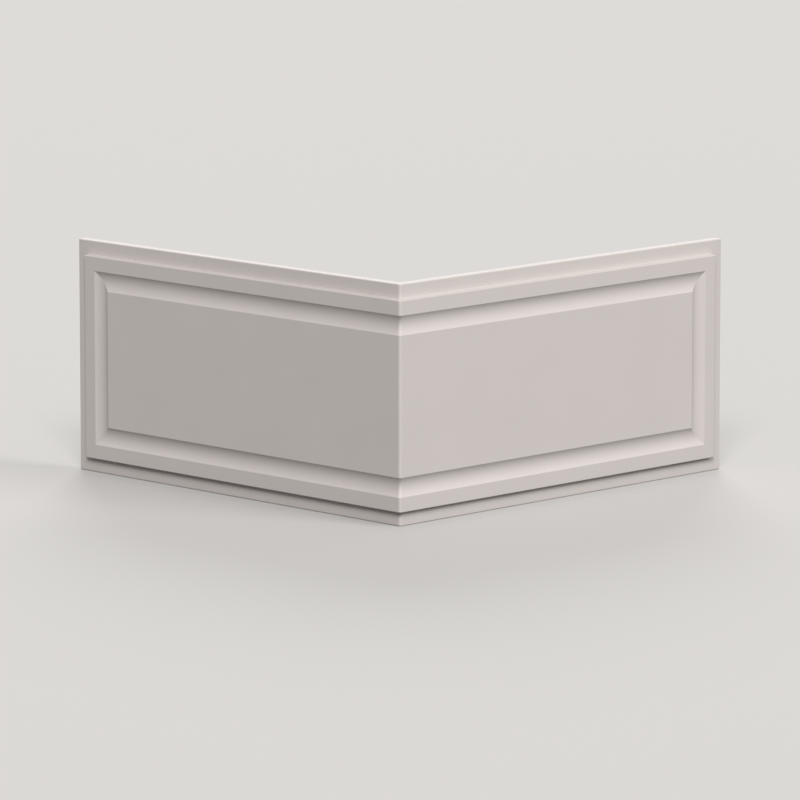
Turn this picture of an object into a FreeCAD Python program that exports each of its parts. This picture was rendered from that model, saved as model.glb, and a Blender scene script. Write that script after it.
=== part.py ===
# Quoin stone: one cast corner stone that wraps an outside corner.
#
# In plan it is an L with two equal wings. Each wing is a flat slab whose outer face
# carries a raised field, set in from the slab's top, bottom and end by a plain margin.
# A concave channel (a cove) runs round the field, parting a narrow frame from the
# wide flat panel. Margin, frame, cove and panel all turn the corner, so the cove is
# mitred at each wing's end and across the corner arris.
#
# Frame: the origin is the foot of the inner corner, where the two backs meet.
# The wings run along +X and +Y, their faces look towards -Y and -X, and +Z is up.

import FreeCAD
import Part
import Sketcher
import math
import os
from FreeCAD import Placement, Rotation, Vector

# Driving sizes, in millimetres.
SIZES = {
    "stone_height": 300.0,   # bed to bed
    "wing_length": 590.0,    # face of the field on one wing to the end of the other
    "slab_thickness": 12.0,  # back of the stone to the margin's face
    "field_rise": 7.5,       # margin's face to the face of the frame and panel
    "margin_width": 18.5,    # plain margin round the field
    "frame_width": 19.0,     # flat of the frame, from the margin to the cove
    "cove_width": 24.5,      # cove, lip to lip
    "cove_depth": 4.0,       # deepest point of the cove below the panel
    "arris_radius": 1.5,     # eased outer edges of the slab and of the field
    "cutter_overrun": 10.0,  # how far the cove's cutter runs out past the stone
}

NODE = "quoin_stone"

doc = FreeCAD.newDocument("QuoinStone")
sheet = doc.addObject("Spreadsheet::Sheet", "Sizes")
for row, (alias, size) in enumerate(SIZES.items(), start=1):
    sheet.set(f"A{row}", alias)
    sheet.set(f"B{row}", str(size))
    sheet.setAlias(f"B{row}", alias)
doc.recompute()

body = doc.addObject("PartDesign::Body", NODE)
body.Label = NODE

# Lengths that several sketches share, as expressions on the sheet.
FACE = "(Sizes.slab_thickness + Sizes.field_rise)"
REACH = f"(Sizes.wing_length - {FACE})"
COVE_INSET = "(Sizes.margin_width + Sizes.frame_width)"
COVE_RADIUS = "((Sizes.cove_width ^ 2 / 4 + Sizes.cove_depth ^ 2) / (2 * Sizes.cove_depth))"

# The same lengths as numbers, for drawing each sketch at its final size.
height = sheet.stone_height
slab = sheet.slab_thickness
margin = sheet.margin_width
width = sheet.cove_width
depth = sheet.cove_depth
overrun = sheet.cutter_overrun
face = slab + sheet.field_rise
reach = sheet.wing_length - face
inset = margin + sheet.frame_width

ORIGIN_POINT = (-1, 1)  # a sketch's own origin, as Sketcher numbers it


def origin_plane(role):
    return next(plane for plane in body.Origin.OriginFeatures if plane.Role == role)


def new_sketch(name, plane_role, offset=None):
    """A sketch on one of the body's origin planes, moved along its normal by offset."""
    sketch = body.newObject("Sketcher::SketchObject", name)
    sketch.AttachmentSupport = [(origin_plane(plane_role), "")]
    sketch.MapMode = "FlatFace"
    if offset:
        sketch.setExpression("AttachmentOffset.Base.z", offset)
    return sketch


def draw_lines(sketch, points):
    """Level and upright edges through the points, joined end to end."""
    edges = []
    for start, end in zip(points, points[1:]):
        edge = sketch.addGeometry(Part.LineSegment(Vector(*start, 0), Vector(*end, 0)), False)
        level = start[1] == end[1]
        sketch.addConstraint(Sketcher.Constraint("Horizontal" if level else "Vertical", edge))
        edges.append(edge)
    for before, after in zip(edges, edges[1:]):
        sketch.addConstraint(Sketcher.Constraint("Coincident", before, 2, after, 1))
    if points[0] == points[-1]:
        sketch.addConstraint(Sketcher.Constraint("Coincident", edges[-1], 2, edges[0], 1))
    return edges


def bind_span(sketch, name, expression, kind, start, end):
    """A level or upright distance from start to end, bound to the sheet."""
    span = sketch.getPoint(*end) - sketch.getPoint(*start)
    now = span.x if kind == "DistanceX" else span.y
    number = sketch.addConstraint(Sketcher.Constraint(kind, *start, *end, now))
    sketch.renameConstraint(number, name)
    sketch.setExpression(f"Constraints.{name}", expression)


def add_slab():
    """The plain L that backs the stone and shows as its margin."""
    plan = new_sketch("slab_plan", "XY_Plane")
    inner_x, end_x, _, _, end_y, inner_y = draw_lines(
        plan,
        [
            (0, 0),
            (reach, 0),
            (reach, -slab),
            (-slab, -slab),
            (-slab, reach),
            (0, reach),
            (0, 0),
        ],
    )
    plan.addConstraint(Sketcher.Constraint("Coincident", inner_x, 1, *ORIGIN_POINT))
    bind_span(plan, "reach_x", REACH, "DistanceX", (inner_x, 1), (inner_x, 2))
    bind_span(plan, "reach_y", REACH, "DistanceY", (inner_y, 2), (inner_y, 1))
    bind_span(plan, "thick_x", "Sizes.slab_thickness", "DistanceY", (end_x, 2), (end_x, 1))
    bind_span(plan, "thick_y", "Sizes.slab_thickness", "DistanceX", (end_y, 1), (end_y, 2))
    pad = body.newObject("PartDesign::Pad", "slab")
    pad.Profile = plan
    pad.setExpression("Length", "Sizes.stone_height")
    doc.recompute()
    return pad


def add_field():
    """The raised L on the slab's faces, inside the margin."""
    far = reach - margin
    plan = new_sketch("field_plan", "XY_Plane", offset="Sizes.margin_width")
    back_x, end_x, _, _, end_y, back_y = draw_lines(
        plan,
        [
            (-slab, -slab),
            (far, -slab),
            (far, -face),
            (-face, -face),
            (-face, far),
            (-slab, far),
            (-slab, -slab),
        ],
    )
    inside = f"{REACH} - Sizes.margin_width"
    bind_span(plan, "on_slab_x", "Sizes.slab_thickness", "DistanceX", (back_x, 1), ORIGIN_POINT)
    bind_span(plan, "on_slab_y", "Sizes.slab_thickness", "DistanceY", (back_x, 1), ORIGIN_POINT)
    bind_span(plan, "end_x", inside, "DistanceX", ORIGIN_POINT, (back_x, 2))
    bind_span(plan, "end_y", inside, "DistanceY", ORIGIN_POINT, (back_y, 1))
    bind_span(plan, "rise_x", "Sizes.field_rise", "DistanceY", (end_x, 2), (end_x, 1))
    bind_span(plan, "rise_y", "Sizes.field_rise", "DistanceX", (end_y, 1), (end_y, 2))
    pad = body.newObject("PartDesign::Pad", "field")
    pad.Profile = plan
    pad.setExpression("Length", "Sizes.stone_height - 2 * Sizes.margin_width")
    doc.recompute()
    return pad


def ease_edges(name, base, standing_on):
    """Rounds every edge that stands out in front of the plane at depth standing_on."""
    slack = 0.001
    chosen = []
    for number, edge in enumerate(base.Shape.Edges, start=1):
        box = edge.BoundBox
        if min(box.XMin, box.YMin) < -standing_on - slack:
            chosen.append(f"Edge{number}")
    rounds = body.newObject("PartDesign::Fillet", name)
    rounds.Base = (base, chosen)
    rounds.setExpression("Radius", "Sizes.arris_radius")
    doc.recompute()
    return rounds


def cove_path():
    """Where the cutter runs on the X wing: in past the corner along the bottom,
    up beside the wing's end, and back out past the corner along the top."""
    low = inset + width / 2
    outside = -face - overrun
    turn = reach - low
    path = new_sketch("cove_path", "XZ_Plane", offset=FACE)
    bottom, end, top = draw_lines(
        path, [(outside, low), (turn, low), (turn, height - low), (outside, height - low)]
    )
    middle = f"({COVE_INSET} + Sizes.cove_width / 2)"
    run_out = f"{FACE} + Sizes.cutter_overrun"
    between = f"Sizes.stone_height - 2 * {middle}"
    bind_span(path, "above_bed", middle, "DistanceY", ORIGIN_POINT, (bottom, 1))
    bind_span(path, "out_bottom", run_out, "DistanceX", (bottom, 1), ORIGIN_POINT)
    bind_span(path, "turn", f"{REACH} - {middle}", "DistanceX", ORIGIN_POINT, (bottom, 2))
    bind_span(path, "between", between, "DistanceY", (end, 1), (end, 2))
    bind_span(path, "out_top", run_out, "DistanceX", (top, 2), ORIGIN_POINT)
    return path


def cove_section():
    """The cutter's section: a hollow arc, closed off in the air in front of the face.
    The sketch's x is the stone's Y and its y is the stone's Z."""
    low, high = inset, inset + width
    air = -face - overrun
    section = new_sketch("cove_section", "YZ_Plane", offset=f"-({FACE} + Sizes.cutter_overrun)")
    upper, front, lower = draw_lines(
        section, [(-face, high), (air, high), (air, low), (-face, low)]
    )
    radius = (width**2 / 4 + depth**2) / (2 * depth)
    half_angle = math.asin(width / 2 / radius)
    centre = Vector(-face + depth - radius, (low + high) / 2, 0)
    circle = Part.Circle(centre, Vector(0, 0, 1), radius)
    hollow = section.addGeometry(Part.ArcOfCircle(circle, -half_angle, half_angle), False)
    section.addConstraint(Sketcher.Constraint("Coincident", lower, 2, hollow, 1))
    section.addConstraint(Sketcher.Constraint("Coincident", hollow, 2, upper, 1))
    section.addConstraint(Sketcher.Constraint("Equal", upper, lower))
    number = section.addConstraint(Sketcher.Constraint("Radius", hollow, radius))
    section.renameConstraint(number, "hollow_radius")
    section.setExpression("Constraints.hollow_radius", COVE_RADIUS)
    bind_span(section, "inset", COVE_INSET, "DistanceY", ORIGIN_POINT, (lower, 2))
    bind_span(section, "width", "Sizes.cove_width", "DistanceY", (front, 2), (front, 1))
    bind_span(section, "face", FACE, "DistanceX", (lower, 2), ORIGIN_POINT)
    bind_span(section, "air", "Sizes.cutter_overrun", "DistanceX", (lower, 1), (lower, 2))
    return section


def cut_cove():
    """Cuts the cove round the X wing's field, mitred at the wing's end."""
    path = cove_path()
    section = cove_section()
    doc.recompute()
    cut = body.newObject("PartDesign::SubtractivePipe", "cove_x_wing")
    cut.Profile = section
    cut.Spine = (path, [])
    cut.Transition = "Right corner"
    doc.recompute()
    return cut


def mirror_cove(cut):
    """Repeats the cove on the Y wing. The two cuts meet in a mitre at the arris."""
    bisector = body.newObject("PartDesign::Plane", "bisector")
    bisector.AttachmentSupport = [(origin_plane("XZ_Plane"), "")]
    bisector.MapMode = "FlatFace"
    bisector.AttachmentOffset = Placement(Vector(), Rotation(Vector(0, 1, 0), 45))
    mirrored = body.newObject("PartDesign::Mirrored", "cove_y_wing")
    mirrored.Originals = [cut]
    mirrored.MirrorPlane = (bisector, [""])
    body.Tip = mirrored
    doc.recompute()
    return mirrored


def check(shape):
    """Stops the build if a feature failed or a cut took nothing away."""
    for item in doc.Objects:
        for word in ("Invalid", "Error"):
            if word in item.State:
                raise RuntimeError(f"{item.Label}: {item.State}")
    for sketch in doc.findObjects("Sketcher::SketchObject"):
        if sketch.solve() != 0 or not sketch.FullyConstrained:
            raise RuntimeError(f"{sketch.Label} isn't fully constrained")
    if shape.isNull() or not shape.isValid() or len(shape.Solids) != 1:
        raise RuntimeError("the stone isn't one valid solid")


slab_pad = add_slab()
slab_eased = ease_edges("slab_eased", slab_pad, standing_on=0)
field_pad = add_field()
field_eased = ease_edges("field_eased", field_pad, standing_on=slab)
first_cove = cut_cove()
stone = mirror_cove(first_cove)
check(body.Shape)
if not stone.Shape.Volume < first_cove.Shape.Volume < field_eased.Shape.Volume:
    raise RuntimeError("a cove wasn't cut")

os.makedirs("parts", exist_ok=True)
body.Shape.exportStep(f"parts/{NODE}.step")
print(f"{NODE}: {body.Shape.Volume / 1e6:.3f} litres, {body.Shape.BoundBox}")
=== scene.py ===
"""Corner quoin stone: a thin L-shaped casting with a moulded panel on each face.

The stone's skin is one moulding profile swept round the border of its two faces and
folded over the corner, made with Geometry Nodes. Lengths are in metres.
"""

import math
from functools import partial

import bpy
from bpy.props import FloatProperty, FloatVectorProperty, IntProperty, PointerProperty
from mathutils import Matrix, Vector


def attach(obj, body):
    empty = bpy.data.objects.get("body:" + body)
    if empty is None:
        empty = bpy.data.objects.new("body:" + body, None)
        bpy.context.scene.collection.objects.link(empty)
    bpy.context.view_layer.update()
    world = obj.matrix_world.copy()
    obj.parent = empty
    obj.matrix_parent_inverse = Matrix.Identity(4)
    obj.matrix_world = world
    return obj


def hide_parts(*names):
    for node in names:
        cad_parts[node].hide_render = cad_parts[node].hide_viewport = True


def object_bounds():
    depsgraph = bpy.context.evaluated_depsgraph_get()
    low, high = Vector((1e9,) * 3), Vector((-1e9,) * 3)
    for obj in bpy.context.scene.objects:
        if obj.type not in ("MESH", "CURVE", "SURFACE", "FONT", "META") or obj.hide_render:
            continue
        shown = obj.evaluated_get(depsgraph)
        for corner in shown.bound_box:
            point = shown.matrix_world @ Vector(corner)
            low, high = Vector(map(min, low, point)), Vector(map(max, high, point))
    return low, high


bl_info = {
    "name": "Corner Quoin Stone",
    "version": (1, 0, 0),
    "blender": (4, 5, 0),
    "location": "View3D > Sidebar > Quoin",
    "description": "Builds a moulded cast quoin stone for an outside corner, and its studio",
    "category": "Add Mesh",
}

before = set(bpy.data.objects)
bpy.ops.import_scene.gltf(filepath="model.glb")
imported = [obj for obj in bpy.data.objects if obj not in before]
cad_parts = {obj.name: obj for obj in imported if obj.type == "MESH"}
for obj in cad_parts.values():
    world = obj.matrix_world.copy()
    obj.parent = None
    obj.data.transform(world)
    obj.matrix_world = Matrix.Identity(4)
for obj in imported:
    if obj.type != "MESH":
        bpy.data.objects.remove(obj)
BOX_LOW, BOX_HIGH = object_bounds()

STONE_NODE = "quoin_stone"


# Properties


class QuoinStoneSizes(bpy.types.PropertyGroup):
    """Sizes of the casting."""

    height: FloatProperty(
        name="Height",
        description="Height of the stone from bed to bed",
        default=BOX_HIGH.z - BOX_LOW.z,
        unit="LENGTH",
    )
    reach: FloatProperty(
        name="Reach",
        description="Length of each wing's back, from the inner corner to the wing's end",
        default=BOX_HIGH.x,
        unit="LENGTH",
    )
    thickness: FloatProperty(
        name="Thickness",
        description="Thickness from the back of the stone to the face of its panel",
        default=-BOX_LOW.x,
        unit="LENGTH",
    )
    rise: FloatProperty(
        name="Field rise",
        description="How far the frame and the panel stand proud of the margin",
        default=0.0075,
        unit="LENGTH",
    )
    margin: FloatProperty(
        name="Margin width",
        description="Width of the plain margin round the field",
        default=0.0185,
        unit="LENGTH",
    )
    frame_width: FloatProperty(
        name="Frame width",
        description="Width of the flat frame between the margin and the cove",
        default=0.019,
        unit="LENGTH",
    )
    cove_width: FloatProperty(
        name="Cove width",
        description="Width of the hollow channel, lip to lip",
        default=0.0245,
        unit="LENGTH",
    )
    cove_depth: FloatProperty(
        name="Cove depth",
        description="Depth of the hollow channel below the panel",
        default=0.004,
        unit="LENGTH",
    )
    arris: FloatProperty(
        name="Arris radius",
        description="Radius of the eased outer edges of the slab and of the field",
        default=0.0015,
        unit="LENGTH",
    )
    corner: FloatProperty(
        name="Corner radius",
        description="Radius of the corner arris, where the two faces meet",
        default=0.0035,
        unit="LENGTH",
    )
    lip: FloatProperty(
        name="Lip radius",
        description="Radius where the cove meets the frame and the panel",
        default=0.0006,
        unit="LENGTH",
    )
    waviness: FloatProperty(
        name="Waviness",
        description="Depth of the slow hollows that the mould leaves in the faces",
        default=0.00015,
        unit="LENGTH",
    )
    columns: IntProperty(
        name="Columns",
        description="Mesh columns along each wing",
        default=56,
        min=16,
    )
    rows: IntProperty(
        name="Rows",
        description="Mesh rows up the stone",
        default=20,
        min=4,
    )


class QuoinStoneColours(bpy.types.PropertyGroup):
    """Colours of the casting and of the studio, as sRGB values."""

    cast_face: FloatVectorProperty(
        name="Cast face",
        description="Smooth cast stone of the faces, beds and ends",
        subtype="COLOR_GAMMA",
        default=(0xD2 / 255, 0xCB / 255, 0xC7 / 255),
    )
    trowelled_back: FloatVectorProperty(
        name="Trowelled back",
        description="Cement of the two backs, where the mould was open",
        subtype="COLOR_GAMMA",
        default=(0xC8 / 255, 0xC2 / 255, 0xBA / 255),
    )
    floor: FloatVectorProperty(
        name="Floor",
        description="Studio floor",
        subtype="COLOR_GAMMA",
        default=(0xCE / 255, 0xCC / 255, 0xCA / 255),
    )
    surround: FloatVectorProperty(
        name="Surround",
        description="Background beyond the floor, and the light that it gives",
        subtype="COLOR_GAMMA",
        default=(0xDC / 255, 0xDA / 255, 0xD8 / 255),
    )


# Helpers


def linear(srgb, gain=1.0):
    """An sRGB colour as the linear RGBA that nodes take, made lighter or darker by gain."""
    channels = [c / 12.92 if c <= 0.04045 else ((c + 0.055) / 1.055) ** 2.4 for c in srgb]
    return (*(c * gain for c in channels), 1.0)


def add_node(tree, kind, inputs=None, items=None, **settings):
    """Adds a node, applies its settings, and fills each named or numbered input with a
    plain value, or links it to a socket or to another node's first live output.
    items are the choices of an Index Switch, which then has one socket for each."""
    node = tree.nodes.new(kind)
    for name, value in settings.items():
        setattr(node, name, value)
    inputs = dict(inputs or {})
    for number, value in enumerate(items or ()):
        if number >= len(node.index_switch_items):
            node.index_switch_items.new()
        inputs[number + 1] = value
    for key, value in inputs.items():
        if isinstance(value, bpy.types.Node):
            value = next(socket for socket in value.outputs if socket.enabled)
        if isinstance(value, bpy.types.NodeSocket):
            tree.links.new(value, node.inputs[key])
        else:
            node.inputs[key].default_value = value
    return node


# Numbers of the Mix node's inputs, and of its output, when it mixes colours.
MIX_FACTOR, MIX_A, MIX_B = 0, 6, 7
MIX_RESULT = 2


# Materials

# Specular level of both cement surfaces, which have no polish.
DULL_SPECULAR = 0.3


def smooth_cast_stone(colours):
    """Fine cast stone of white cement, from a smooth mould. The eye sees an even off-white
    with no gloss, slight dents and swells, a soft grain of about a millimetre, and tones
    that drift by a percent or two."""
    material = bpy.data.materials.new("smooth_cast_stone")
    material.use_nodes = True
    tree = material.node_tree
    shader = tree.nodes["Principled BSDF"]
    place = add_node(tree, "ShaderNodeTexCoord").outputs["Object"]

    # The tone drifts over about 80 mm.
    drift = add_node(tree, "ShaderNodeTexNoise", {"Vector": place, "Scale": 12.5, "Detail": 2.0})
    tone = add_node(
        tree,
        "ShaderNodeMix",
        {
            MIX_FACTOR: drift,
            MIX_A: linear(colours.cast_face, 0.975),
            MIX_B: linear(colours.cast_face, 1.025),
        },
        data_type="RGBA",
    )
    tree.links.new(tone.outputs[MIX_RESULT], shader.inputs["Base Color"])

    # Grain of the sand close under the cement skin. It is about half a millimetre, and
    # is drawn 1.2 mm across so that it shows.
    grain = add_node(tree, "ShaderNodeTexNoise", {"Vector": place, "Scale": 830.0, "Detail": 2.0})
    rough = add_node(
        tree, "ShaderNodeMapRange", {"Value": grain, "To Min": 0.58, "To Max": 0.72}
    )
    tree.links.new(rough.outputs["Result"], shader.inputs["Roughness"])
    # Swells that rubbing down leaves: about 18 mm across and a tenth of a millimetre deep.
    swells = add_node(tree, "ShaderNodeTexNoise", {"Vector": place, "Scale": 55.0, "Detail": 1.0})
    swollen = add_node(tree, "ShaderNodeBump", {"Height": swells, "Distance": 0.0001})
    grained = add_node(
        tree,
        "ShaderNodeBump",
        {"Height": grain, "Strength": 0.35, "Distance": 0.00006, "Normal": swollen},
    )
    tree.links.new(grained.outputs["Normal"], shader.inputs["Normal"])
    shader.inputs["Specular IOR Level"].default_value = DULL_SPECULAR
    return material


def trowelled_cement(colours):
    """The open side of the casting: white cement struck off with a trowel and left bare.
    The eye sees a duller, rougher grey-white in soft blotches, with shallow strokes and a
    few pinholes."""
    material = bpy.data.materials.new("trowelled_white_cement")
    material.use_nodes = True
    tree = material.node_tree
    shader = tree.nodes["Principled BSDF"]
    place = add_node(tree, "ShaderNodeTexCoord").outputs["Object"]

    # Blotches where the cement dried slower or faster: about 70 mm across.
    blotches = add_node(tree, "ShaderNodeTexNoise", {"Vector": place, "Scale": 14.0, "Detail": 4.0})
    tone = add_node(
        tree,
        "ShaderNodeMix",
        {
            MIX_FACTOR: blotches,
            MIX_A: linear(colours.trowelled_back, 0.85),
            MIX_B: linear(colours.trowelled_back, 1.15),
        },
        data_type="RGBA",
    )
    tree.links.new(tone.outputs[MIX_RESULT], shader.inputs["Base Color"])
    shader.inputs["Roughness"].default_value = 0.85
    shader.inputs["Specular IOR Level"].default_value = DULL_SPECULAR

    # Trowel strokes: 15 mm across and about 120 mm long, level on both wings.
    flat = add_node(tree, "ShaderNodeMapping", {"Vector": place, "Scale": (8.0, 8.0, 65.0)})
    strokes = add_node(
        tree, "ShaderNodeTexNoise", {"Vector": flat, "Scale": 1.0, "Detail": 2.0, "Distortion": 0.6}
    )
    # Pinholes that air left, about 2 mm wide. The cells are 12 mm across, and one hole
    # shows where the middle of a cell comes within a millimetre of the surface.
    cells = add_node(tree, "ShaderNodeTexVoronoi", {"Vector": place, "Scale": 85.0})
    holes = add_node(
        tree,
        "ShaderNodeMapRange",
        {"Value": cells.outputs["Distance"], "From Min": 0.05, "From Max": 0.12},
        interpolation_type="SMOOTHSTEP",
    )
    # Sand that the trowel laid bare: 2 mm.
    sand = add_node(tree, "ShaderNodeTexNoise", {"Vector": place, "Scale": 500.0, "Detail": 3.0})
    holed = add_node(tree, "ShaderNodeBump", {"Height": holes, "Distance": 0.0008})
    stroked = add_node(
        tree, "ShaderNodeBump", {"Height": strokes, "Distance": 0.0007, "Normal": holed}
    )
    sandy = add_node(
        tree, "ShaderNodeBump", {"Height": sand, "Distance": 0.0003, "Normal": stroked}
    )
    tree.links.new(sandy.outputs["Normal"], shader.inputs["Normal"])
    return material


# The stone's Geometry Nodes tree

TREE_INPUTS = (
    ("Height", "NodeSocketFloat"),
    ("Reach", "NodeSocketFloat"),
    ("Thickness", "NodeSocketFloat"),
    ("Field rise", "NodeSocketFloat"),
    ("Margin width", "NodeSocketFloat"),
    ("Frame width", "NodeSocketFloat"),
    ("Cove width", "NodeSocketFloat"),
    ("Cove depth", "NodeSocketFloat"),
    ("Arris radius", "NodeSocketFloat"),
    ("Corner radius", "NodeSocketFloat"),
    ("Lip radius", "NodeSocketFloat"),
    ("Waviness", "NodeSocketFloat"),
    ("Columns", "NodeSocketInt"),
    ("Rows", "NodeSocketInt"),
    ("Seed", "NodeSocketFloat"),
    ("Face material", "NodeSocketMaterial"),
    ("Back material", "NodeSocketMaterial"),
)

# Mesh columns of each wing that lie in the corner's rounding.
FOLD_STEPS = 4
# Mesh steps round the eased edges, the lips and the hollow of the cove. A corner that
# stays sharp has one.
ARRIS_STEPS = 5
LIP_STEPS = 3
COVE_STEPS = 26
SHARP = 1
# Strip of the flat panel that the profile takes in past the cove.
PANEL_STRIP = 0.004
# Slow hollows to the metre, and the seed that places them.
HOLLOWS_PER_METRE = 9.0
HOLLOW_SEED = 4.0
# Points nearer than this are welded where the moulding meets the panel and the back.
WELD_DISTANCE = 0.00001
# A point within this of the slab's thickness lies on the back.
BACK_TOLERANCE = 0.0001
# Edges that turn more than this stay sharp.
SHARP_ANGLE = math.radians(35)
# The sheet's coordinates multiply to half at its four corners, and to less elsewhere.
END_CORNER = 0.49999


def profile_curve(node, given):
    """The moulding's profile as one curve: x is the inset from the stone's border, and
    y the depth below the panel's face. It runs from the back edge in to the panel.
    Returns the curve and the inset at which the flat panel starts."""
    arris, lip = given["Arris radius"], given["Lip radius"]
    margin, rise = given["Margin width"], given["Field rise"]
    width, depth = given["Cove width"], given["Cove depth"]
    half = node("ShaderNodeMath", {0: width, 1: 0.5}, operation="MULTIPLY")
    cove_start = node("ShaderNodeMath", {0: margin, 1: given["Frame width"]}, operation="ADD")
    cove_middle = node("ShaderNodeMath", {0: cove_start, 1: half}, operation="ADD")
    cove_end = node("ShaderNodeMath", {0: cove_start, 1: width}, operation="ADD")
    panel = node("ShaderNodeMath", {0: cove_end, 1: PANEL_STRIP}, operation="ADD")

    # The cove is a V whose point is rounded so far that only an arc is left. Its radius
    # is (half^2 + depth^2) / (2 depth), and its point lies half^2 / (radius - depth) deep.
    half_square = node("ShaderNodeMath", {0: half, 1: half}, operation="MULTIPLY")
    squares = node("ShaderNodeMath", {0: depth, 1: depth, 2: half_square}, operation="MULTIPLY_ADD")
    twice_depth = node("ShaderNodeMath", {0: depth, 1: 2.0}, operation="MULTIPLY")
    radius = node("ShaderNodeMath", {0: squares, 1: twice_depth}, operation="DIVIDE")
    centre_out = node("ShaderNodeMath", {0: radius, 1: depth}, operation="SUBTRACT")
    point = node("ShaderNodeMath", {0: half_square, 1: centre_out}, operation="DIVIDE")

    # Inset, depth, rounding radius and rounding steps of each corner of the profile.
    corners = (
        (0.0, given["Thickness"], 0.0, SHARP),
        (0.0, rise, arris, ARRIS_STEPS),
        (margin, rise, lip, LIP_STEPS),
        (margin, 0.0, arris, ARRIS_STEPS),
        (cove_start, 0.0, lip, LIP_STEPS),
        (cove_middle, point, radius, COVE_STEPS),
        (cove_end, 0.0, lip, LIP_STEPS),
        (panel, 0.0, 0.0, SHARP),
    )
    insets, depths, radii, steps = zip(*corners)
    number = node("GeometryNodeInputIndex")
    switch = "GeometryNodeIndexSwitch"
    inset = node(switch, {"Index": number}, items=insets, data_type="FLOAT")
    deep = node(switch, {"Index": number}, items=depths, data_type="FLOAT")
    rounding = node(switch, {"Index": number}, items=radii, data_type="FLOAT")
    count = node(switch, {"Index": number}, items=steps, data_type="INT")
    place = node("ShaderNodeCombineXYZ", {"X": inset, "Y": deep})
    points = node("GeometryNodePoints", {"Count": len(corners), "Position": place})
    line = node("GeometryNodePointsToCurves", {"Points": points, "Weight": number})
    profile = node(
        "GeometryNodeFilletCurve",
        {"Curve": line, "Count": count, "Radius": rounding, "Limit Radius": True},
        mode="POLY",
    )
    return profile, panel


def folded_place(node, given, spot, relief):
    """Where a point of the flat sheet lies on the stone."""
    across_up = node("ShaderNodeSeparateXYZ", {0: spot}).outputs
    inset_depth = node("ShaderNodeSeparateXYZ", {0: relief}).outputs
    inset, sunk = inset_depth["X"], inset_depth["Y"]
    thickness = given["Thickness"]

    # Slow hollows in the faces, a hand's width across, that fade out at the slab's edge.
    size = node("ShaderNodeCombineXYZ", {"X": given["Reach"], "Y": given["Height"]})
    sheet = node("ShaderNodeVectorMath", {0: spot, 1: size}, operation="MULTIPLY")
    hollow = node(
        "ShaderNodeTexNoise",
        {"Vector": sheet, "W": given["Seed"], "Scale": HOLLOWS_PER_METRE, "Detail": 1.0},
        noise_dimensions="4D",
    )
    edge = node(
        "ShaderNodeMath", {0: given["Field rise"], 1: given["Arris radius"]}, operation="ADD"
    )
    fade = node(
        "ShaderNodeMapRange",
        {
            "Value": sunk,
            "From Min": given["Field rise"],
            "From Max": edge,
            "To Min": given["Waviness"],
            "To Max": 0.0,
        },
    )
    depth = node("ShaderNodeMath", {0: hollow, 1: fade, 2: sunk}, operation="MULTIPLY_ADD")

    # The first columns on each side of the fold share out the corner's rounding, and the
    # others the rest of the wing.
    across = node("ShaderNodeMath", {0: across_up["X"]}, operation="ABSOLUTE")
    column = node("ShaderNodeMath", {0: across, 1: given["Columns"]}, operation="MULTIPLY")
    turn = node(
        "ShaderNodeMapRange",
        {"Value": column, "From Max": FOLD_STEPS, "To Min": math.pi / 4, "To Max": 0.0},
    )
    along = node(
        "ShaderNodeMapRange",
        {"Value": column, "From Min": FOLD_STEPS, "From Max": given["Columns"]},
    )
    behind = node("ShaderNodeMath", {0: thickness, 1: depth}, operation="SUBTRACT")
    radius = node(
        "ShaderNodeMath", {0: given["Corner radius"], 1: behind}, operation="MINIMUM"
    )
    start = node("ShaderNodeMath", {0: depth, 1: radius}, operation="ADD")
    sine = node("ShaderNodeMath", {0: turn}, operation="SINE")
    cosine = node("ShaderNodeMath", {0: turn}, operation="COSINE")
    in_turn = node("ShaderNodeMath", {0: radius, 1: sine}, operation="MULTIPLY")
    off_turn = node("ShaderNodeMath", {0: radius, 1: cosine}, operation="MULTIPLY")
    turned = node("ShaderNodeMath", {0: start, 1: in_turn}, operation="SUBTRACT")
    below = node("ShaderNodeMath", {0: start, 1: off_turn}, operation="SUBTRACT")
    wing = node("ShaderNodeMath", {0: given["Reach"], 1: thickness}, operation="ADD")
    end = node("ShaderNodeMath", {0: wing, 1: inset}, operation="SUBTRACT")
    run = node("ShaderNodeMath", {0: end, 1: start}, operation="SUBTRACT")
    away = node("ShaderNodeMath", {0: along, 1: run, 2: turned}, operation="MULTIPLY_ADD")

    both_insets = node("ShaderNodeMath", {0: inset, 1: 2.0}, operation="MULTIPLY")
    tall = node("ShaderNodeMath", {0: given["Height"], 1: both_insets}, operation="SUBTRACT")
    middle = node("ShaderNodeMath", {0: given["Height"], 1: 0.5}, operation="MULTIPLY")
    level = node(
        "ShaderNodeMath", {0: across_up["Y"], 1: tall, 2: middle}, operation="MULTIPLY_ADD"
    )

    on_x_wing = node("ShaderNodeCombineXYZ", {"X": away, "Y": below, "Z": level})
    on_y_wing = node("ShaderNodeCombineXYZ", {"X": below, "Y": away, "Z": level})
    right = node(
        "FunctionNodeCompare", {"A": across_up["X"], "B": 0.0}, operation="GREATER_THAN"
    )
    from_corner = node(
        "GeometryNodeSwitch",
        {"Switch": right, "False": on_y_wing, "True": on_x_wing},
        input_type="VECTOR",
    )
    corner = node("ShaderNodeCombineXYZ", {"X": thickness, "Y": thickness})
    return node("ShaderNodeVectorMath", {0: from_corner, 1: corner}, operation="SUBTRACT")


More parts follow.
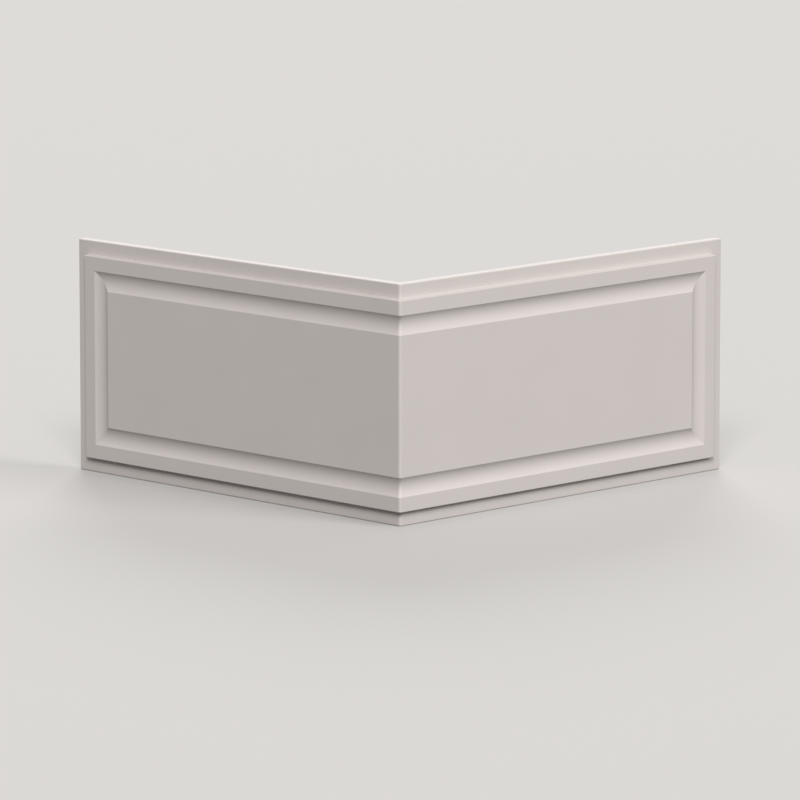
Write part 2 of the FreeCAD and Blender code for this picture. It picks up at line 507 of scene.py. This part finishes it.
def moulding_tree():
    """The rule that the casting follows, as a node tree.

    A flat sheet stands for the two faces laid out side by side. Each point of it has a
    spot, from -1 at the Y wing's end to 1 at the X wing's end and from -0.5 to 0.5 up the
    stone, and a relief, its inset from the border and its depth below the panel's face.
    The moulding, the panel and the back are parts of that sheet, and one Set Position
    folds them over the corner.
    """
    tree = bpy.data.node_groups.new("corner_moulding", "GeometryNodeTree")
    for name, kind in TREE_INPUTS:
        tree.interface.new_socket(name=name, in_out="INPUT", socket_type=kind)
    tree.interface.new_socket(name="Stone", in_out="OUTPUT", socket_type="NodeSocketGeometry")
    node = partial(add_node, tree)
    given = node("NodeGroupInput").outputs
    position = node("GeometryNodeInputPosition")
    profile, panel_inset = profile_curve(node, given)

    both_wings = node(
        "ShaderNodeMath", {0: given["Columns"], 1: 2.0, 2: 1.0}, operation="MULTIPLY_ADD"
    )
    up = node("ShaderNodeMath", {0: given["Rows"], 1: 1.0}, operation="ADD")
    grid = node(
        "GeometryNodeMeshGrid",
        {"Size X": 2.0, "Size Y": 1.0, "Vertices X": both_wings, "Vertices Y": up},
    )
    store = "GeometryNodeStoreNamedAttribute"
    on_points = {"data_type": "FLOAT_VECTOR", "domain": "POINT"}
    flat = {"Geometry": grid.outputs["Mesh"], "Name": "spot", "Value": position}
    sheet = node(store, flat, **on_points)

    neighbours = node("GeometryNodeInputMeshEdgeNeighbors")
    on_border = node(
        "FunctionNodeCompare", {2: neighbours, 3: 1}, data_type="INT", operation="EQUAL"
    )
    border = node("GeometryNodeMeshToCurve", {"Mesh": sheet, "Selection": on_border})
    outline = {"Geometry": profile, "Name": "relief", "Value": position}
    section = node(store, outline, **on_points)
    moulding = node("GeometryNodeCurveToMesh", {"Curve": border, "Profile Curve": section})
    panel_relief = node("ShaderNodeCombineXYZ", {"X": panel_inset})
    front = {"Geometry": sheet, "Name": "relief", "Value": panel_relief}
    panel = node(store, front, **on_points)
    back_relief = node("ShaderNodeCombineXYZ", {"Y": given["Thickness"]})
    rear = {"Geometry": sheet, "Name": "relief", "Value": back_relief}
    back = node(store, rear, **on_points)
    back = node("GeometryNodeFlipFaces", {"Mesh": back})

    parts = node("GeometryNodeJoinGeometry")
    for part in (moulding, panel, back):
        tree.links.new(part.outputs[0], parts.inputs[0])
    spot = node("GeometryNodeInputNamedAttribute", {"Name": "spot"}, data_type="FLOAT_VECTOR")
    relief = node("GeometryNodeInputNamedAttribute", {"Name": "relief"}, data_type="FLOAT_VECTOR")
    place = folded_place(node, given, spot, relief)
    folded = node("GeometryNodeSetPosition", {"Geometry": parts, "Position": place})
    closed = node("GeometryNodeMergeByDistance", {"Geometry": folded, "Distance": WELD_DISTANCE})
    smooth = node("GeometryNodeSetShadeSmooth", {"Geometry": closed}, domain="FACE")

    # Edges are sharp where the skin turns hard, and along the mitres at the wings' ends.
    angle = node("GeometryNodeInputMeshEdgeAngle")
    hard = node("FunctionNodeCompare", {"A": angle, "B": SHARP_ANGLE}, operation="GREATER_THAN")
    edge_spot = node("ShaderNodeSeparateXYZ", {0: spot}).outputs
    product = node("ShaderNodeMath", {0: edge_spot["X"], 1: edge_spot["Y"]}, operation="MULTIPLY")
    far = node("ShaderNodeMath", {0: product}, operation="ABSOLUTE")
    mitre = node("FunctionNodeCompare", {"A": far, "B": END_CORNER}, operation="GREATER_THAN")
    sharp = node("FunctionNodeBooleanMath", {0: hard, 1: mitre}, operation="OR")
    shaded = node(
        "GeometryNodeSetShadeSmooth",
        {"Geometry": smooth, "Selection": sharp, "Shade Smooth": False},
        domain="EDGE",
    )

    real = node("GeometryNodeRealizeInstances", {"Geometry": shaded})
    faced = node("GeometryNodeSetMaterial", {"Geometry": real, "Material": given["Face material"]})
    depth = node("ShaderNodeSeparateXYZ", {0: relief}).outputs["Y"]
    nearly = node(
        "ShaderNodeMath", {0: given["Thickness"], 1: BACK_TOLERANCE}, operation="SUBTRACT"
    )
    at_back = node("FunctionNodeCompare", {"A": depth, "B": nearly}, operation="GREATER_THAN")
    done = node(
        "GeometryNodeSetMaterial",
        {"Geometry": faced, "Selection": at_back, "Material": given["Back material"]},
    )
    node("NodeGroupOutput", {"Stone": done})
    return tree


def cast_stone(sizes, colours):
    """Runs the moulding tree on an empty mesh and keeps its result as a plain mesh."""
    tree = moulding_tree()
    stone = bpy.data.objects.new("cast_quoin_stone", bpy.data.meshes.new("blank"))
    bpy.context.scene.collection.objects.link(stone)
    modifier = stone.modifiers.new("moulding", "NODES")
    modifier.node_group = tree
    values = {
        "Height": sizes.height,
        "Reach": sizes.reach,
        "Thickness": sizes.thickness,
        "Field rise": sizes.rise,
        "Margin width": sizes.margin,
        "Frame width": sizes.frame_width,
        "Cove width": sizes.cove_width,
        "Cove depth": sizes.cove_depth,
        "Arris radius": sizes.arris,
        "Corner radius": sizes.corner,
        "Lip radius": sizes.lip,
        "Waviness": sizes.waviness,
        "Columns": sizes.columns,
        "Rows": sizes.rows,
        "Seed": HOLLOW_SEED,
        "Face material": smooth_cast_stone(colours),
        "Back material": trowelled_cement(colours),
    }
    for socket in tree.interface.items_tree:
        if socket.in_out == "INPUT":
            modifier[socket.identifier] = values[socket.name]
    # The flats keep their own normals right up to the rounded edges beside them.
    weighted = stone.modifiers.new("weighted_normals", "WEIGHTED_NORMAL")
    weighted.mode = "FACE_AREA"
    weighted.weight = 100
    weighted.keep_sharp = True
    graph = bpy.context.evaluated_depsgraph_get()
    mesh = bpy.data.meshes.new_from_object(stone.evaluated_get(graph))
    mesh.name = "cast_quoin_stone"
    stone.modifiers.clear()
    stone.data = mesh
    for name in ("spot", "relief"):
        mesh.attributes.remove(mesh.attributes[name])
    # The tree leaves an empty material slot in front of its two, which goes.
    for slot in reversed(range(len(mesh.materials))):
        if mesh.materials[slot] is None:
            mesh.materials.pop(index=slot)
    return stone


# Operators


class QUOIN_OT_stone(bpy.types.Operator):
    """Build the cast stone"""

    bl_idname = "quoin.stone"
    bl_label = "Quoin Stone"
    bl_options = {"REGISTER", "UNDO"}

    def execute(self, context):
        scene = context.scene
        stone = cast_stone(scene.quoin_stone_sizes, scene.quoin_stone_colours)
        if not stone.data.polygons:
            raise RuntimeError("the moulding tree made no faces")
        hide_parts(STONE_NODE)
        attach(stone, "root")
        return {"FINISHED"}


# Name, degrees to the camera's right, degrees up, strength and angular width of each lamp.
LAMPS = (
    ("key", 0.0, 36.0, 2.05, 25.0),
    ("side", 60.0, 30.0, 0.97, 25.0),
    ("back", 180.0, 25.0, 1.1, 25.0),
)
# Direction of the camera from the stone, in degrees from +X towards +Y.
CAMERA_SIDE = -135.0
# How far off the lamps are drawn. Their light is parallel, so it changes nothing else.
LAMP_DISTANCE = 3.0
# Strength of the surround as light. What the camera sees of it has strength 1.
SURROUND_LIGHT = 0.58
# Share of the floor's colour that it throws back at the stone.
FLOOR_BOUNCE = 0.102
FLOOR_HALF_WIDTH = 40.0


class QUOIN_OT_stage(bpy.types.Operator):
    """Lay the pale floor, light it softly and set up the camera"""

    bl_idname = "quoin.stage"
    bl_label = "Studio"
    bl_options = {"REGISTER", "UNDO"}

    def execute(self, context):
        colours = context.scene.quoin_stone_colours
        lay_floor(colours)
        light_studio(colours)
        place_camera(context)
        return {"FINISHED"}


def seen_directly(tree):
    """1 for what the camera sees, straight or in a gloss or glass, and 0 for light that
    is on its way to a surface."""
    path = add_node(tree, "ShaderNodeLightPath").outputs
    picture = add_node(
        tree,
        "ShaderNodeMath",
        {0: path["Is Camera Ray"], 1: path["Is Glossy Ray"]},
        operation="MAXIMUM",
    )
    return add_node(
        tree, "ShaderNodeMath", {0: picture, 1: path["Is Transmission Ray"]}, operation="MAXIMUM"
    )


def lay_floor(colours):
    """A wide matte floor that reaches past the picture on every side. It looks pale, but
    throws little light back, so that the undersides of the mouldings stay in shade."""
    half = FLOOR_HALF_WIDTH
    mesh = bpy.data.meshes.new("studio_floor")
    corners = [(-half, -half, 0), (half, -half, 0), (half, half, 0), (-half, half, 0)]
    mesh.from_pydata(corners, [], [(0, 1, 2, 3)])
    floor = bpy.data.objects.new("studio_floor", mesh)
    bpy.context.scene.collection.objects.link(floor)
    material = bpy.data.materials.new("matte_studio_floor")
    material.use_nodes = True
    tree = material.node_tree
    shader = tree.nodes["Principled BSDF"]
    colour = add_node(
        tree,
        "ShaderNodeMix",
        {
            MIX_FACTOR: seen_directly(tree),
            MIX_A: linear(colours.floor, FLOOR_BOUNCE),
            MIX_B: linear(colours.floor),
        },
        data_type="RGBA",
    )
    tree.links.new(colour.outputs[MIX_RESULT], shader.inputs["Base Color"])
    shader.inputs["Roughness"].default_value = 0.9
    shader.inputs["Specular IOR Level"].default_value = 0.2
    mesh.materials.append(material)


def light_studio(colours):
    """Broad lamps in front, on the camera's right and behind, and a pale surround."""
    for name, azimuth, elevation, strength, spread in LAMPS:
        lamp = bpy.data.lights.new(name, "SUN")
        lamp.energy = strength
        lamp.angle = math.radians(spread)
        sun = bpy.data.objects.new(name, lamp)
        bpy.context.scene.collection.objects.link(sun)
        turn = math.radians(azimuth + CAMERA_SIDE)
        rise = math.radians(elevation)
        towards = Vector(
            (math.cos(turn) * math.cos(rise), math.sin(turn) * math.cos(rise), math.sin(rise))
        )
        sun.rotation_euler = towards.to_track_quat("Z", "Y").to_euler()
        sun.location = towards * LAMP_DISTANCE

    world = bpy.data.worlds.new("pale_surround")
    world.use_nodes = True
    tree = world.node_tree
    shader = tree.nodes["Background"]
    strength = add_node(
        tree,
        "ShaderNodeMapRange",
        {"Value": seen_directly(tree), "To Min": SURROUND_LIGHT, "To Max": 1.0},
    )
    tree.links.new(strength.outputs["Result"], shader.inputs["Strength"])
    shader.inputs["Color"].default_value = linear(colours.surround)
    bpy.context.scene.world = world


def place_camera(context):
    """Straight in front of the corner arris, at eye height, with a long lens."""
    middle = Vector((0.02, 0.02, 0.15))
    eye = Vector((-5.41, -5.41, 1.4))
    data = bpy.data.cameras.new("camera")
    data.lens = 285.0
    data.sensor_width = 36.0
    data.clip_end = 100.0
    camera = bpy.data.objects.new("camera", data)
    camera.location = eye
    camera.rotation_euler = (middle - eye).to_track_quat("-Z", "Y").to_euler()
    context.scene.collection.objects.link(camera)
    context.scene.camera = camera


# Panel and registration


class QUOIN_PT_sidebar(bpy.types.Panel):
    """The sizes, the colours and the two build buttons"""

    bl_idname = "QUOIN_PT_sidebar"
    bl_label = "Quoin Stone"
    bl_space_type = "VIEW_3D"
    bl_region_type = "UI"
    bl_category = "Quoin"

    def draw(self, context):
        layout = self.layout
        for group in (context.scene.quoin_stone_sizes, context.scene.quoin_stone_colours):
            column = layout.column(align=True)
            for name in group.__annotations__:
                column.prop(group, name)
        layout.operator(QUOIN_OT_stone.bl_idname)
        layout.operator(QUOIN_OT_stage.bl_idname)


CLASSES = (
    QuoinStoneSizes,
    QuoinStoneColours,
    QUOIN_OT_stone,
    QUOIN_OT_stage,
    QUOIN_PT_sidebar,
)


def register():
    for cls in CLASSES:
        bpy.utils.register_class(cls)
    bpy.types.Scene.quoin_stone_sizes = PointerProperty(type=QuoinStoneSizes)
    bpy.types.Scene.quoin_stone_colours = PointerProperty(type=QuoinStoneColours)


def unregister():
    del bpy.types.Scene.quoin_stone_colours
    del bpy.types.Scene.quoin_stone_sizes
    for cls in reversed(CLASSES):
        bpy.utils.unregister_class(cls)


def main():
    register()
    bpy.ops.quoin.stone()
    bpy.ops.quoin.stage()
    bpy.context.scene.view_settings.view_transform = "Standard"


if __name__ == "__main__":
    main()
